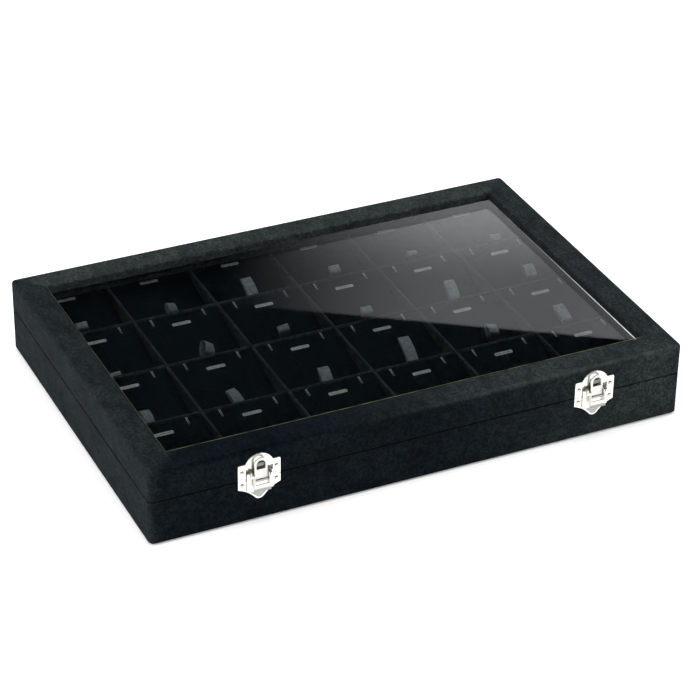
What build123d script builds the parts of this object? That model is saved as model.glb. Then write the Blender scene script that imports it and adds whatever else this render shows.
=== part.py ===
from build123d import *
import math
import os

os.makedirs("parts", exist_ok=True)

# Jewelry display tray: a velvet case with 24 compartments under a hinged glass lid.
# Millimetres, +Z up, the latches at the front (-Y), origin at the middle of the resting face.

# Case
case_length = 350.0
case_depth = 240.0
tray_height = 30.0
lid_height = 20.0
side_wall = 3.0
front_wall = 10.0
back_wall = 3.5
corner_radius = 3.0
lid_edge_radius = 2.0
base_bevel = 1.2
seam_bevel = 0.6
base_sheet_thickness = 0.6
base_sheet_inset = 2.0
floor_thickness = 2.5

# Lid frame and glass
frame_border = 18.0
frame_thickness = 5.5
opening_corner_radius = 1.5
opening_bevel = 0.8
lid_clearance = 0.5
glass_thickness = 2.5
glass_overlap = 8.0
retainer_height = 5.0
retainer_setback = 2.0

# Compartments
columns = 6
rows = 4
liner_thickness = 1.5
right_liner_thickness = 6.5
divider_thickness = 2.0
divider_bevel = 0.5
divider_clearance = 0.5
board_clearance = 0.1

# Inserts, the sloping boards in the compartments
insert_thickness = 2.0
insert_side_gap = 0.4
insert_back_gap = 0.4
insert_front_gap = 1.6
insert_drop = 0.9
insert_slope = 12.0
insert_bevel = 0.6
slot_length = 11.0
slot_width = 2.6
slot_bevel = 0.9
slot_setback = 8.9
notch_length = 7.5
notch_width = 0.8
notch_spacing = 35.0

# Ribbon pulls
ribbon_width = 7.0
ribbon_thickness = 0.5
ribbon_stem_length = 9.0
ribbon_loop_length = 16.0
ribbon_loop_width = 3.4
ribbon_tip_width = 1.6
ribbon_shoulder = 11.0
ribbon_rise = 1.0
ribbon_lean = 44.0
ribbon_lean_step = 5.0
ribbon_attitudes = 4

# Latch plates
left_latch_inset = 68.0
right_latch_inset = 61.0
plate_thickness = 0.8
plate_width = 26.6
plate_seam_gap = 0.15
catch_shoulder = 10.8
catch_dome_radius = 9.2
catch_dome_top = 16.6
catch_corner_radius = 0.9
catch_opening_height = 7.2
base_shoulder = 5.6
base_tip = 14.2
base_tip_width = 5.6
base_tip_rise = 1.3
base_sweep_bow = 0.7
rail_width = 2.8
rail_height = 1.6
rail_length = 7.2
rail_reach = 4.9
nail_rise = 5.8
nail_drop = 2.9

# Latch lever and bail
pivot_out = 3.6
pivot_rise = 4.3
pivot_radius = 0.7
pivot_clearance = 0.05
ear_radius = 1.9
ear_thickness = 0.9
ear_gap = 0.3
lever_width = 10.2
lever_sheet = 0.7
lever_back = 1.4
lever_front = 2.4
lever_face_top = 5.7
lever_length = 9.9
lever_shoulder = 4.8
lever_heel = 7.1
lever_heel_out = 1.0
lever_lip = 0.6
lever_lip_height = 1.6
bail_reach = 4.2
bail_rest_angle = 8.0
bail_side_gap = 0.3
bail_thickness = 0.8
bail_barrel_radius = 1.15
bail_height = 15.1
bail_window_width = 5.6
bail_window_sill = 7.4
bail_window_top = 13.5
trunnion_inset = 0.05
nose_width = 4.4
nose_out = 1.5
nose_rise = 8.4
nose_lip = 2.8
nose_sheet = 0.7

# Hinges at the back
hinge_inset = 65.0
leaf_height = 14.0
leaf_thickness = 0.8
knuckle_radius = 1.85
knuckle_width = 8.0
knuckle_gap = 0.2
knuckle_standoff = 0.15
hinge_pin_radius = 1.0
hinge_pin_clearance = 0.05
leaf_corner_bevel = 1.0
leaf_seam_gap = 0.3
lid_open_angle = 100.0
stop_length = 7.0
stop_clearance = 0.1
leaf_nail_spacing = 16.0
leaf_nail_distance = 9.0

# Nails, cut from sheet with square shanks
nail_thickness = 1.0
nail_clearance = 0.1
nail_length = 3.2
nail_head_radius = 1.3
nail_head_height = 0.7
nail_head_sides = 8
nail_head_taper = 30.0

# Levels and inside faces that follow from the sizes above
seam = tray_height
lid_top = tray_height + lid_height
frame_underside = lid_top - frame_thickness
glass_underside = frame_underside - glass_thickness
retainer_underside = glass_underside - retainer_height
divider_top = retainer_underside - divider_clearance
insert_back_top = divider_top - insert_drop
floor_bottom = base_sheet_thickness
floor_top = floor_bottom + floor_thickness
half_length = case_length / 2
half_depth = case_depth / 2
inside_x = half_length - side_wall
inside_front = -half_depth + front_wall
inside_back = half_depth - back_wall
opening_x = half_length - frame_border
opening_y = half_depth - frame_border
cells_left = liner_thickness - inside_x
cells_right = inside_x - right_liner_thickness
cells_front = inside_front + liner_thickness
cells_back = inside_back - liner_thickness
cell_width = (cells_right - cells_left - (columns - 1) * divider_thickness) / columns
cell_depth = (cells_back - cells_front - (rows - 1) * divider_thickness) / rows
column_pitch = cell_width + divider_thickness
row_pitch = cell_depth + divider_thickness
front_face = Plane.XZ.offset(half_depth)
back_face = Plane(origin=(0, half_depth, 0), x_dir=(-1, 0, 0), z_dir=(0, 1, 0))


def save(piece, name):
    """Label a finished piece and write its file."""
    piece.part.label = name
    export_step(piece.part, f"parts/{name}.step")


def column_x(column):
    """Middle of a compartment, counted from the left, in X."""
    return cells_left + cell_width / 2 + column * column_pitch


def row_front(row):
    """Front edge of a compartment, counted from the back, in Y."""
    return cells_back - cell_depth - row * row_pitch


def mitre_outline(side, inner_x, inner_front, inner_back):
    """Four corners of one frame board: two outside, two where it meets the inside."""
    outside = {
        "front": [(-half_length, -half_depth), (half_length, -half_depth)],
        "right": [(half_length, -half_depth), (half_length, half_depth)],
        "back": [(half_length, half_depth), (-half_length, half_depth)],
        "left": [(-half_length, half_depth), (-half_length, -half_depth)],
    }
    inside = {
        "front": [(inner_x, inner_front), (-inner_x, inner_front)],
        "right": [(inner_x, inner_back), (inner_x, inner_front)],
        "back": [(-inner_x, inner_back), (inner_x, inner_back)],
        "left": [(-inner_x, inner_front), (-inner_x, inner_back)],
    }
    return outside[side] + inside[side]


def latch_nail_places(side):
    """X and Z of the four nails that hold the latch plates of one side of the seam."""
    level = seam + nail_rise if side == "lid" else seam - nail_drop
    offset_x = (rail_outside + plate_width / 2) / 2
    return [(latch_x + sign * offset_x, level) for latch_x in latch_places for sign in (-1, 1)]


def hinge_nail_places(side):
    """X and Z of the four nails that hold the hinge leaves of one side of the seam."""
    level = seam + leaf_nail_distance if side == "lid" else seam - leaf_nail_distance
    return [(hinge_x + sign * leaf_nail_spacing / 2, level) for hinge_x in hinge_places for sign in (-1, 1)]


def pilot_holes(board, side):
    """Square shafts that cut the nail holes of one side of the seam out of a board."""
    places = latch_nail_places(side) if board == "front" else hinge_nail_places(side)
    plate = plate_thickness if board == "front" else leaf_thickness
    face = front_face if board == "front" else back_face
    with BuildPart() as holes:
        with BuildSketch(face):
            with Locations(*[(x * face.x_dir.X, z) for x, z in places]):
                Rectangle(nail_hole, nail_hole)
        extrude(amount=plate - nail_length - nail_clearance)
    return holes


# Sizes that the latch and hinge pieces share
left_latch_x = left_latch_inset - half_length
right_latch_x = half_length - right_latch_inset
latch_places = (left_latch_x, right_latch_x)
hinge_places = (hinge_inset - half_length, half_length - hinge_inset)
nail_hole = nail_thickness + nail_clearance
ear_inside = lever_width / 2 + ear_gap
rail_outside = ear_inside + rail_width
pivot_y = -half_depth - pivot_out
pivot_z = seam + pivot_rise
bail_y = pivot_y + bail_reach * math.sin(math.radians(bail_rest_angle))
bail_z = pivot_z - bail_reach * math.cos(math.radians(bail_rest_angle))
hinge_y = half_depth + knuckle_radius + knuckle_standoff
hinge_z = seam
knuckle_pitch = knuckle_width + knuckle_gap
barrel_length = 2 * knuckle_pitch + knuckle_width

# Tray walls, mitred at the corners and rounded along the outside
for side in ("front", "back", "left", "right"):
    with BuildPart() as tray_wall:
        with BuildSketch(Plane.XY.offset(floor_bottom)):
            RectangleRounded(case_length, case_depth, corner_radius)
        extrude(amount=seam - floor_bottom)
        chamfer(tray_wall.edges().group_by(Axis.Z)[0], base_bevel)
        chamfer(tray_wall.edges().group_by(Axis.Z)[-1], seam_bevel)
        with BuildSketch(Plane.XY.offset(floor_bottom)):
            Polygon(*mitre_outline(side, inside_x, inside_front, inside_back), align=None)
        extrude(amount=seam - floor_bottom, mode=Mode.INTERSECT)
        if side in ("front", "back"):
            add(pilot_holes(side, "tray").part, mode=Mode.SUBTRACT)
    save(tray_wall, f"tray_{side}_wall")

# Sheet under the case, and the floor board inside the walls
with BuildPart() as base_sheet:
    with BuildSketch():
        RectangleRounded(
            case_length - 2 * base_sheet_inset, case_depth - 2 * base_sheet_inset, corner_radius
        )
    extrude(amount=base_sheet_thickness)
save(base_sheet, "base_sheet")

with BuildPart() as floor_board:
    with BuildSketch(Plane.XY.offset(floor_bottom)):
        with Locations((0, (inside_front + inside_back) / 2)):
            Rectangle(2 * inside_x, inside_back - inside_front)
    extrude(amount=floor_thickness)
save(floor_board, "floor_board")

# Liner boards round the inside, which rise past the seam into the lid
liner_ends = ((inside_front, cells_front), (inside_back, cells_back))
with BuildPart() as liner_boards:
    with BuildSketch(Plane.XY.offset(floor_top)):
        with Locations(*[(0, (edge + cell_edge) / 2) for edge, cell_edge in liner_ends]):
            Rectangle(2 * inside_x, liner_thickness)
        for side_x, cell_edge in ((-inside_x, cells_left), (inside_x, cells_right)):
            with Locations(((side_x + cell_edge) / 2, (cells_front + cells_back) / 2)):
                Rectangle(abs(cell_edge - side_x), cells_back - cells_front - 2 * board_clearance)
    extrude(amount=divider_top - floor_top)
save(liner_boards, "liner_boards")

# Dividers, halved over each other where they cross
lap_level = (floor_top + divider_top) / 2
lap_width = divider_thickness + 2 * board_clearance
column_divider_places = [column_x(column) + column_pitch / 2 for column in range(columns - 1)]
row_divider_places = [row_front(row) - divider_thickness / 2 for row in range(rows - 1)]
for number, divider_y in enumerate(row_divider_places, start=1):
    with BuildPart() as row_divider:
        with BuildSketch(Plane.XY.offset(floor_top)):
            with Locations(((cells_left + cells_right) / 2, divider_y)):
                Rectangle(cells_right - cells_left, divider_thickness)
        extrude(amount=divider_top - floor_top)
        chamfer(row_divider.edges().group_by(Axis.Z)[-1].filter_by(Axis.X), divider_bevel)
        with BuildSketch(Plane.XY.offset(lap_level)):
            with Locations(*[(divider_x, divider_y) for divider_x in column_divider_places]):
                Rectangle(lap_width, 2 * divider_thickness)
        extrude(amount=divider_top - lap_level, mode=Mode.SUBTRACT)
    save(row_divider, f"row_divider_{number}")

for number, divider_x in enumerate(column_divider_places, start=1):
    with BuildPart() as column_divider:
        with BuildSketch(Plane.XY.offset(floor_top)):
            with Locations((divider_x, (cells_front + cells_back) / 2)):
                Rectangle(divider_thickness, cells_back - cells_front)
        extrude(amount=divider_top - floor_top)
        chamfer(column_divider.edges().group_by(Axis.Z)[-1].filter_by(Axis.Y), divider_bevel)
        with BuildSketch(Plane.XY.offset(floor_top)):
            with Locations(*[(divider_x, divider_y) for divider_y in row_divider_places]):
                Rectangle(2 * divider_thickness, lap_width)
        extrude(amount=lap_level - floor_top, mode=Mode.SUBTRACT)
    save(column_divider, f"column_divider_{number}")

# Inserts: a folded board that slopes to the front, open underneath
insert_width = cell_width - 2 * insert_side_gap
insert_depth = cell_depth - insert_front_gap - insert_back_gap
slope_tangent = math.tan(math.radians(insert_slope))
insert_front_top = insert_back_top - insert_depth * slope_tangent
slope_drop = insert_thickness / math.cos(math.radians(insert_slope))
for row in range(rows):
    front_y = row_front(row) + insert_front_gap
    back_y = front_y + insert_depth
    inner_front = front_y + insert_thickness
    inner_back = back_y - insert_thickness
    for column in range(columns):
        middle_x = column_x(column)
        surface = Plane(
            origin=(middle_x, back_y, insert_back_top),
            x_dir=(1, 0, 0),
            z_dir=(0, -slope_tangent, 1),
        )
        with BuildPart() as insert:
            with BuildSketch(Plane.YZ.offset(middle_x)):
                Polygon(
                    (front_y, floor_top),
                    (back_y, floor_top),
                    (back_y, insert_back_top),
                    (front_y, insert_front_top),
                    align=None,
                )
            extrude(amount=insert_width / 2, both=True)
            chamfer(insert.edges().filter_by(Axis.X).group_by(Axis.Z)[1:], insert_bevel)
            with BuildSketch(Plane.YZ.offset(middle_x)):
                Polygon(
                    (inner_front, floor_top),
                    (inner_back, floor_top),
                    (inner_back, insert_back_top - slope_drop - insert_thickness * slope_tangent),
                    (inner_front, insert_front_top - slope_drop + insert_thickness * slope_tangent),
                    align=None,
                )
            extrude(amount=insert_width / 2, both=True, mode=Mode.SUBTRACT)
            with BuildSketch(surface) as openings:
                with Locations((0, -slot_setback)):
                    Rectangle(slot_length, slot_width)
                chamfer(openings.vertices(), slot_bevel)
                with Locations(*[(sign * notch_spacing / 2, 0) for sign in (-1, 1)]):
                    Rectangle(notch_width, notch_length, align=(Align.CENTER, Align.MAX))
            extrude(amount=insert_thickness, both=True, mode=Mode.SUBTRACT)
        save(insert, f"insert_r{row + 1}c{column + 1}")

# Ribbon pulls: a stem in front of each insert and a loop that leans back over it
stem_thickness = 2 * ribbon_thickness
stem_top = insert_front_top + ribbon_rise
with BuildSketch() as ribbon_loop:
    with BuildLine():
        Polyline(
            (0, 0),
            (ribbon_loop_width / 2, ribbon_shoulder),
            (ribbon_tip_width / 2, ribbon_loop_length),
            (-ribbon_tip_width / 2, ribbon_loop_length),
            (-ribbon_loop_width / 2, ribbon_shoulder),
            close=True,
        )
    make_face()
    offset(amount=-ribbon_thickness, kind=Kind.INTERSECTION, mode=Mode.SUBTRACT)
with BuildPart() as ribbon_pulls:
    for row in range(rows):
        stem_y = row_front(row) + insert_front_gap / 2
        for column in range(columns):
            lean = ribbon_lean + ribbon_lean_step * ((2 * column + 3 * row) % ribbon_attitudes)
            with BuildSketch(Plane.YZ.offset(column_x(column))):
                with Locations((stem_y, stem_top + stem_thickness / 2)):
                    Rectangle(stem_thickness, ribbon_stem_length, align=(Align.CENTER, Align.MAX))
                add(ribbon_loop.sketch.moved(Location((stem_y, stem_top), lean - 90)))
            extrude(amount=ribbon_width / 2, both=True)
save(ribbon_pulls, "ribbon_pulls")

# Lid rails: a broad frame over the glass with a skirt down to the seam
recess_x = inside_x + lid_clearance
recess_front = inside_front - lid_clearance
recess_back = inside_back + lid_clearance
for side in ("front", "back", "left", "right"):
    with BuildPart() as lid_rail:
        with BuildSketch(Plane.XY.offset(seam)):
            RectangleRounded(case_length, case_depth, corner_radius)
        extrude(amount=lid_height)
        chamfer(lid_rail.edges().group_by(Axis.Z)[0], seam_bevel)
        fillet(lid_rail.edges().group_by(Axis.Z)[-1], lid_edge_radius)
        with BuildSketch(Plane.XY.offset(seam)):
            with Locations((0, (recess_front + recess_back) / 2)):
                Rectangle(2 * recess_x, recess_back - recess_front)
        extrude(amount=frame_underside - seam, mode=Mode.SUBTRACT)
        with BuildSketch(Plane.XY.offset(frame_underside)):
            RectangleRounded(2 * opening_x, 2 * opening_y, opening_corner_radius)
        extrude(amount=frame_thickness, mode=Mode.SUBTRACT)
        opening_rim = lid_rail.faces().sort_by(Axis.Z)[-1].inner_wires()[0].edges()
        chamfer(opening_rim, opening_bevel)
        with BuildSketch(Plane.XY.offset(seam)):
            Polygon(*mitre_outline(side, opening_x, -opening_y, opening_y), align=None)
        extrude(amount=lid_height, mode=Mode.INTERSECT)
        if side in ("front", "back"):
            add(pilot_holes(side, "lid").part, mode=Mode.SUBTRACT)
    save(lid_rail, f"lid_{side}_rail")

# Glass under the frame, and the strips that hold it up
with BuildPart() as glass_panel:
    with BuildSketch(Plane.XY.offset(glass_underside)):
        Rectangle(2 * (opening_x + glass_overlap), 2 * (opening_y + glass_overlap))
    extrude(amount=glass_thickness)
save(glass_panel, "glass_panel")

strip_x = opening_x + retainer_setback
strip_y = opening_y + retainer_setback
with BuildPart() as glass_retainer:
    with BuildSketch(Plane.XY.offset(retainer_underside)):
        for strip_inner, strip_outer in ((-strip_y, recess_front), (strip_y, recess_back)):
            with Locations((0, (strip_inner + strip_outer) / 2)):
                Rectangle(2 * recess_x, abs(strip_outer - strip_inner))
        for sign in (-1, 1):
            with Locations((sign * (strip_x + recess_x) / 2, 0)):
                Rectangle(recess_x - strip_x, 2 * (strip_y - board_clearance))
    extrude(amount=retainer_height)
save(glass_retainer, "glass_retainer")

# Latches: catch plate on the lid, base plate on the tray, lever and bail between them
half_plate = plate_width / 2
rail_base = -half_depth - plate_thickness
for name, latch_x in (("left", left_latch_x), ("right", right_latch_x)):
    catch_bottom = seam + plate_seam_gap
    base_top = seam - plate_seam_gap

    with BuildPart() as catch_plate:
        with BuildSketch(front_face) as catch_outline:
            with Locations((latch_x, catch_bottom)):
                Rectangle(plate_width, catch_shoulder - plate_seam_gap, align=(Align.CENTER, Align.MIN))
            fillet(catch_outline.vertices().group_by(Axis.Y)[-1], catch_corner_radius)
            with Locations((latch_x, seam + catch_dome_top - catch_dome_radius)):
                Circle(catch_dome_radius)
            with Locations((latch_x, catch_bottom + catch_opening_height)):
                Rectangle(
                    2 * (rail_outside + ear_gap),
                    catch_dome_top,
                    align=(Align.CENTER, Align.MAX),
                    mode=Mode.SUBTRACT,
                )
            with Locations(*latch_nail_places("lid")):
                Rectangle(nail_hole, nail_hole, mode=Mode.SUBTRACT)
        extrude(amount=plate_thickness)
        nose_y = rail_base - nose_out
        nose_z = seam + nose_rise
        with BuildSketch(Plane.YZ.offset(latch_x)):
            with BuildLine():
                Polyline(
                    (rail_base, nose_z),
                    (nose_y, nose_z),
                    (nose_y, nose_z + nose_lip),
                    (nose_y + nose_sheet, nose_z + nose_lip),
                    (nose_y + nose_sheet, nose_z + nose_sheet),
                    (rail_base, nose_z + nose_sheet),
                    close=True,
                )
            make_face()
        extrude(amount=nose_width / 2, both=True)
        fillet(
            catch_plate.edges().filter_by(Axis.X).group_by(Axis.Y)[0].sort_by(Axis.Z)[0],
            nose_sheet,
        )
    save(catch_plate, f"{name}_catch_plate")

    with BuildPart() as latch_base:
        shoulder_z = seam - base_shoulder
        tip_z = seam - base_tip
        with BuildSketch(front_face):
            with BuildLine():
                tip_right = (latch_x + base_tip_width / 2, tip_z + base_tip_rise)
                tip_left = (latch_x - base_tip_width / 2, tip_z + base_tip_rise)
                sweep_x = (half_plate + base_tip_width / 2) / 2 - base_sweep_bow
                sweep_z = (shoulder_z + tip_z + base_tip_rise) / 2 + base_sweep_bow
                Line((latch_x - half_plate, base_top), (latch_x + half_plate, base_top))
                Line((latch_x + half_plate, base_top), (latch_x + half_plate, shoulder_z))
                ThreePointArc((latch_x + half_plate, shoulder_z), (latch_x + sweep_x, sweep_z), tip_right)
                ThreePointArc(tip_right, (latch_x, tip_z), tip_left)
                ThreePointArc(tip_left, (latch_x - sweep_x, sweep_z), (latch_x - half_plate, shoulder_z))
                Line((latch_x - half_plate, shoulder_z), (latch_x - half_plate, base_top))
            make_face()
            with Locations(*latch_nail_places("tray")):
                Rectangle(nail_hole, nail_hole, mode=Mode.SUBTRACT)
        extrude(amount=plate_thickness)
        with BuildSketch(Plane.XZ.offset(-rail_base)):
            for sign in (-1, 1):
                with Locations((latch_x + sign * (ear_inside + rail_width / 2), seam + rail_reach)):
                    Rectangle(rail_width, rail_reach + rail_length, align=(Align.CENTER, Align.MAX))
        extrude(amount=rail_height)
        for sign in (-1, 1):
            ear_side = latch_x + sign * ear_inside
            with BuildSketch(Plane.YZ.offset(ear_side)):
                with Locations((pivot_y, pivot_z)):
                    Circle(ear_radius)
                with Locations(((pivot_y + rail_base) / 2, pivot_z)):
                    Rectangle(rail_base - pivot_y, 2 * ear_radius)
                with Locations((pivot_y, pivot_z)):
                    Circle(pivot_radius + pivot_clearance, mode=Mode.SUBTRACT)
            extrude(amount=sign * ear_thickness)
    save(latch_base, f"{name}_latch_base")

    lever_inside = lever_width / 2 - lever_sheet
    face_front_y = pivot_y - lever_front
    face_back_y = face_front_y + lever_sheet
    lever_end_z = pivot_z - lever_length
    face_top_z = pivot_z - lever_face_top
    with BuildPart() as lever:
        with BuildSketch(Plane.YZ.offset(latch_x)):
            Polygon(
                (pivot_y + lever_back, pivot_z),
                (pivot_y + lever_back, pivot_z - lever_heel),
                (face_back_y + lever_heel_out - lever_lip, lever_end_z),
                (face_front_y - lever_lip, lever_end_z),
                (face_front_y, lever_end_z + lever_lip_height),
                (face_front_y, pivot_z - lever_shoulder),
                (pivot_y - lever_back, pivot_z),
                align=None,
            )
            with Locations((pivot_y, pivot_z)):
                Circle(lever_back)
        extrude(amount=lever_width / 2, both=True)
        with BuildSketch(Plane.YZ.offset(latch_x)):
            with Locations((face_back_y, face_top_z)):
                Rectangle(2 * lever_length, 2 * lever_length, align=(Align.MIN, Align.CENTER))
            with Locations((face_back_y, face_top_z)):
                Rectangle(lever_length, lever_length, align=(Align.CENTER, Align.MIN))
        extrude(amount=lever_inside, both=True, mode=Mode.SUBTRACT)
        with BuildSketch(Plane.YZ.offset(latch_x)):
            with Locations((pivot_y, pivot_z), (bail_y, bail_z)):
                Circle(pivot_radius + pivot_clearance)
        extrude(amount=lever_width, both=True, mode=Mode.SUBTRACT)
    save(lever, f"{name}_lever")

    bail_half_width = lever_inside - bail_side_gap
    with BuildPart() as bail:
        with BuildSketch(Plane.XZ.offset(-bail_y)):
            with Locations((latch_x, bail_z)):
                Rectangle(
                    2 * bail_half_width, bail_height - bail_half_width, align=(Align.CENTER, Align.MIN)
                )
            with Locations((latch_x, bail_z + bail_height - bail_half_width)):
                Circle(bail_half_width)
            window_radius = bail_window_width / 2
            with Locations((latch_x, bail_z + bail_window_top - window_radius)):
                Circle(window_radius, mode=Mode.SUBTRACT)
            with Locations((latch_x, bail_z + bail_window_sill)):
                Rectangle(
                    bail_window_width,
                    bail_window_top - window_radius - bail_window_sill,
                    align=(Align.CENTER, Align.MIN),
                    mode=Mode.SUBTRACT,
                )
        extrude(amount=bail_thickness / 2, both=True)
        with BuildSketch(Plane.YZ.offset(latch_x)):
            with Locations((bail_y, bail_z)):
                Circle(bail_barrel_radius)
        extrude(amount=bail_half_width, both=True)
        with BuildSketch(Plane.YZ.offset(latch_x)):
            with Locations((bail_y, bail_z)):
                Circle(pivot_radius)
        extrude(amount=lever_width / 2 - trunnion_inset, both=True)
    save(bail, f"{name}_bail")

# Pins: one in each ear of the latches and one through each hinge
with BuildPart() as pivot_pins:
    for latch_x in latch_places:
        for sign in (-1, 1):
            with BuildSketch(Plane.YZ.offset(latch_x + sign * (ear_inside + ear_thickness))):
                with Locations((pivot_y, pivot_z)):
                    Circle(pivot_radius)
            extrude(amount=-sign * (ear_inside + ear_thickness - lever_width / 2 + lever_sheet))
    for hinge_x in hinge_places:
        with BuildSketch(Plane.YZ.offset(hinge_x)):
            with Locations((hinge_y, hinge_z)):
                Circle(hinge_pin_radius)
        extrude(amount=barrel_length / 2, both=True)
save(pivot_pins, "pivot_pins")


def hinge_leaves(side):
    """One leaf per hinge: a nailed plate and the knuckles that belong to it."""
    up = 1 if side == "lid" else -1
    plate_near = seam + up * leaf_seam_gap
    plate_middle = seam + up * (leaf_seam_gap + leaf_height) / 2
    clear_radius = knuckle_radius + knuckle_gap
    with BuildPart() as leaves:
        for hinge_x in hinge_places:
            own = [hinge_x] if side == "lid" else [hinge_x - knuckle_pitch, hinge_x + knuckle_pitch]
            other = [hinge_x - knuckle_pitch, hinge_x + knuckle_pitch] if side == "lid" else [hinge_x]
            with BuildPart(mode=Mode.PRIVATE) as leaf:
                with BuildSketch(Plane.XZ.offset(-half_depth)):
                    with Locations((hinge_x, plate_middle)):
                        Rectangle(barrel_length, leaf_height - leaf_seam_gap)
                    far_corners = vertices().group_by(Axis.Y)[-1 if side == "lid" else 0]
                    chamfer(far_corners, leaf_corner_bevel)
                    with Locations(*[(x, plate_near) for x in own]):
                        Rectangle(knuckle_width, 2 * leaf_seam_gap)
                    with Locations(*hinge_nail_places(side)):
                        Rectangle(nail_hole, nail_hole, mode=Mode.SUBTRACT)
                extrude(amount=-leaf_thickness)
                for x in other:
                    with BuildSketch(Plane.YZ.offset(x)):
                        with Locations((hinge_y, hinge_z)):
                            Rectangle(2 * clear_radius, 2 * clear_radius)
                    extrude(amount=knuckle_pitch - knuckle_width / 2, both=True, mode=Mode.SUBTRACT)
                for x in own:
                    with BuildSketch(Plane.YZ.offset(x)):
                        with Locations((hinge_y, hinge_z)):
                            Circle(knuckle_radius)
                    extrude(amount=knuckle_width / 2, both=True)
                if side == "lid":
                    turned_back = math.radians(lid_open_angle)
                    stop_plane = Plane(
                        origin=(hinge_x, hinge_y, hinge_z),
                        x_dir=(0, math.cos(turned_back), math.sin(turned_back)),
                        z_dir=(1, 0, 0),
                    )
                    stop_face = half_depth + leaf_thickness + stop_clearance - hinge_y
                    with BuildSketch(stop_plane):
                        with Locations((stop_face, 0)):
                            Rectangle(leaf_thickness, stop_length, align=(Align.MIN, Align.MAX))
                    extrude(amount=knuckle_width / 2, both=True)
                with BuildSketch(Plane.YZ.offset(hinge_x)):
                    with Locations((hinge_y, hinge_z)):
                        Circle(hinge_pin_radius + hinge_pin_clearance)
                extrude(amount=barrel_length, both=True, mode=Mode.SUBTRACT)
            add(leaf.part)
    return leaves


save(hinge_leaves("tray"), "hinge_tray_leaves")
save(hinge_leaves("lid"), "hinge_lid_leaves")

# Nails: the shank in the wall, the head on the plate
leaf_seat = back_face.offset(leaf_thickness)
plate_seat = front_face.offset(plate_thickness)
for side in ("tray", "lid"):
    with BuildPart() as nails:
        for seat, places in ((plate_seat, latch_nail_places(side)), (leaf_seat, hinge_nail_places(side))):
            seat_places = [(x * seat.x_dir.X, z) for x, z in places]
            with BuildSketch(seat):
                with Locations(*seat_places):
                    Rectangle(nail_thickness, nail_thickness)
            extrude(amount=-nail_length)
            with BuildSketch(seat):
                with Locations(*seat_places):
                    RegularPolygon(nail_head_radius, nail_head_sides)
            extrude(amount=nail_head_height, taper=nail_head_taper)
    save(nails, f"{side}_nails")
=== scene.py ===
"""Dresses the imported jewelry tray: velvet, nickel, glass, ribbon pulls, floor, lights and camera.

Every length is in metres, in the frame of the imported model: +X to the right along the front,
-Y towards the latches, +Z up, with the origin at the middle of the resting face.
"""

import logging
import math
import random
from dataclasses import dataclass
from enum import Enum
from functools import cached_property, reduce

import bmesh
import bpy
from mathutils import Matrix, Vector


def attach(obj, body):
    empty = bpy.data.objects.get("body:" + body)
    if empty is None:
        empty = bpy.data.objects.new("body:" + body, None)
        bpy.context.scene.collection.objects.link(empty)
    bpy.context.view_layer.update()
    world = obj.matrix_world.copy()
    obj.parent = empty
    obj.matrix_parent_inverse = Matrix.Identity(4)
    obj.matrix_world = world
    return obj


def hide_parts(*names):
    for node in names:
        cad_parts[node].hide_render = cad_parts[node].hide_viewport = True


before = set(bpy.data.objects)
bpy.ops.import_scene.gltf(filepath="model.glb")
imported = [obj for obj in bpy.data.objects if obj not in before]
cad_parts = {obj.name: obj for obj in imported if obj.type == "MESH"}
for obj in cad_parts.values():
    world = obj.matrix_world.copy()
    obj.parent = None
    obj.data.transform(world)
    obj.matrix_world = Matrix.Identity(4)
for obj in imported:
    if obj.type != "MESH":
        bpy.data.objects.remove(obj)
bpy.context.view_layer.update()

MM = 0.001
HALF_LENGTH = 175.0 * MM
HALF_DEPTH = 120.0 * MM
SEAM = 30.0 * MM
LID_TOP = 50.0 * MM
LATCH_MIDDLES = (-107.0 * MM, 114.0 * MM)
HINGE_MIDDLES = (-110.0 * MM, 110.0 * MM)

Colour = Triple = tuple[float, float, float]
Pair = tuple[float, float]
Pairs = tuple[Pair, ...]
Ramp = tuple[float, ...]
"""Where a change starts and stops, and the values at both ends where they are not 0 and 1."""
Socket = bpy.types.NodeSocket
Feed = Socket | float | tuple
Mesh = bmesh.types.BMesh
Rings = list[list[bmesh.types.BMVert]]
Object = bpy.types.Object

log = logging.getLogger("tray")


# ---- node work


class Sum(Enum):
    """What a recipe works out from two values."""

    ADD = "ADD"
    SUBTRACT = "SUBTRACT"
    MULTIPLY = "MULTIPLY"
    BELOW = "LESS_THAN"
    LOWER = "MINIMUM"
    HIGHER = "MAXIMUM"
    UNSIGNED = "ABSOLUTE"


class Blend(Enum):
    """What a blend mixes: its data type, and the numbers of its two inputs and its output."""

    COLOURS = ("RGBA", 6, 7, 2)
    VALUES = ("FLOAT", 2, 3, 0)


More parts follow.
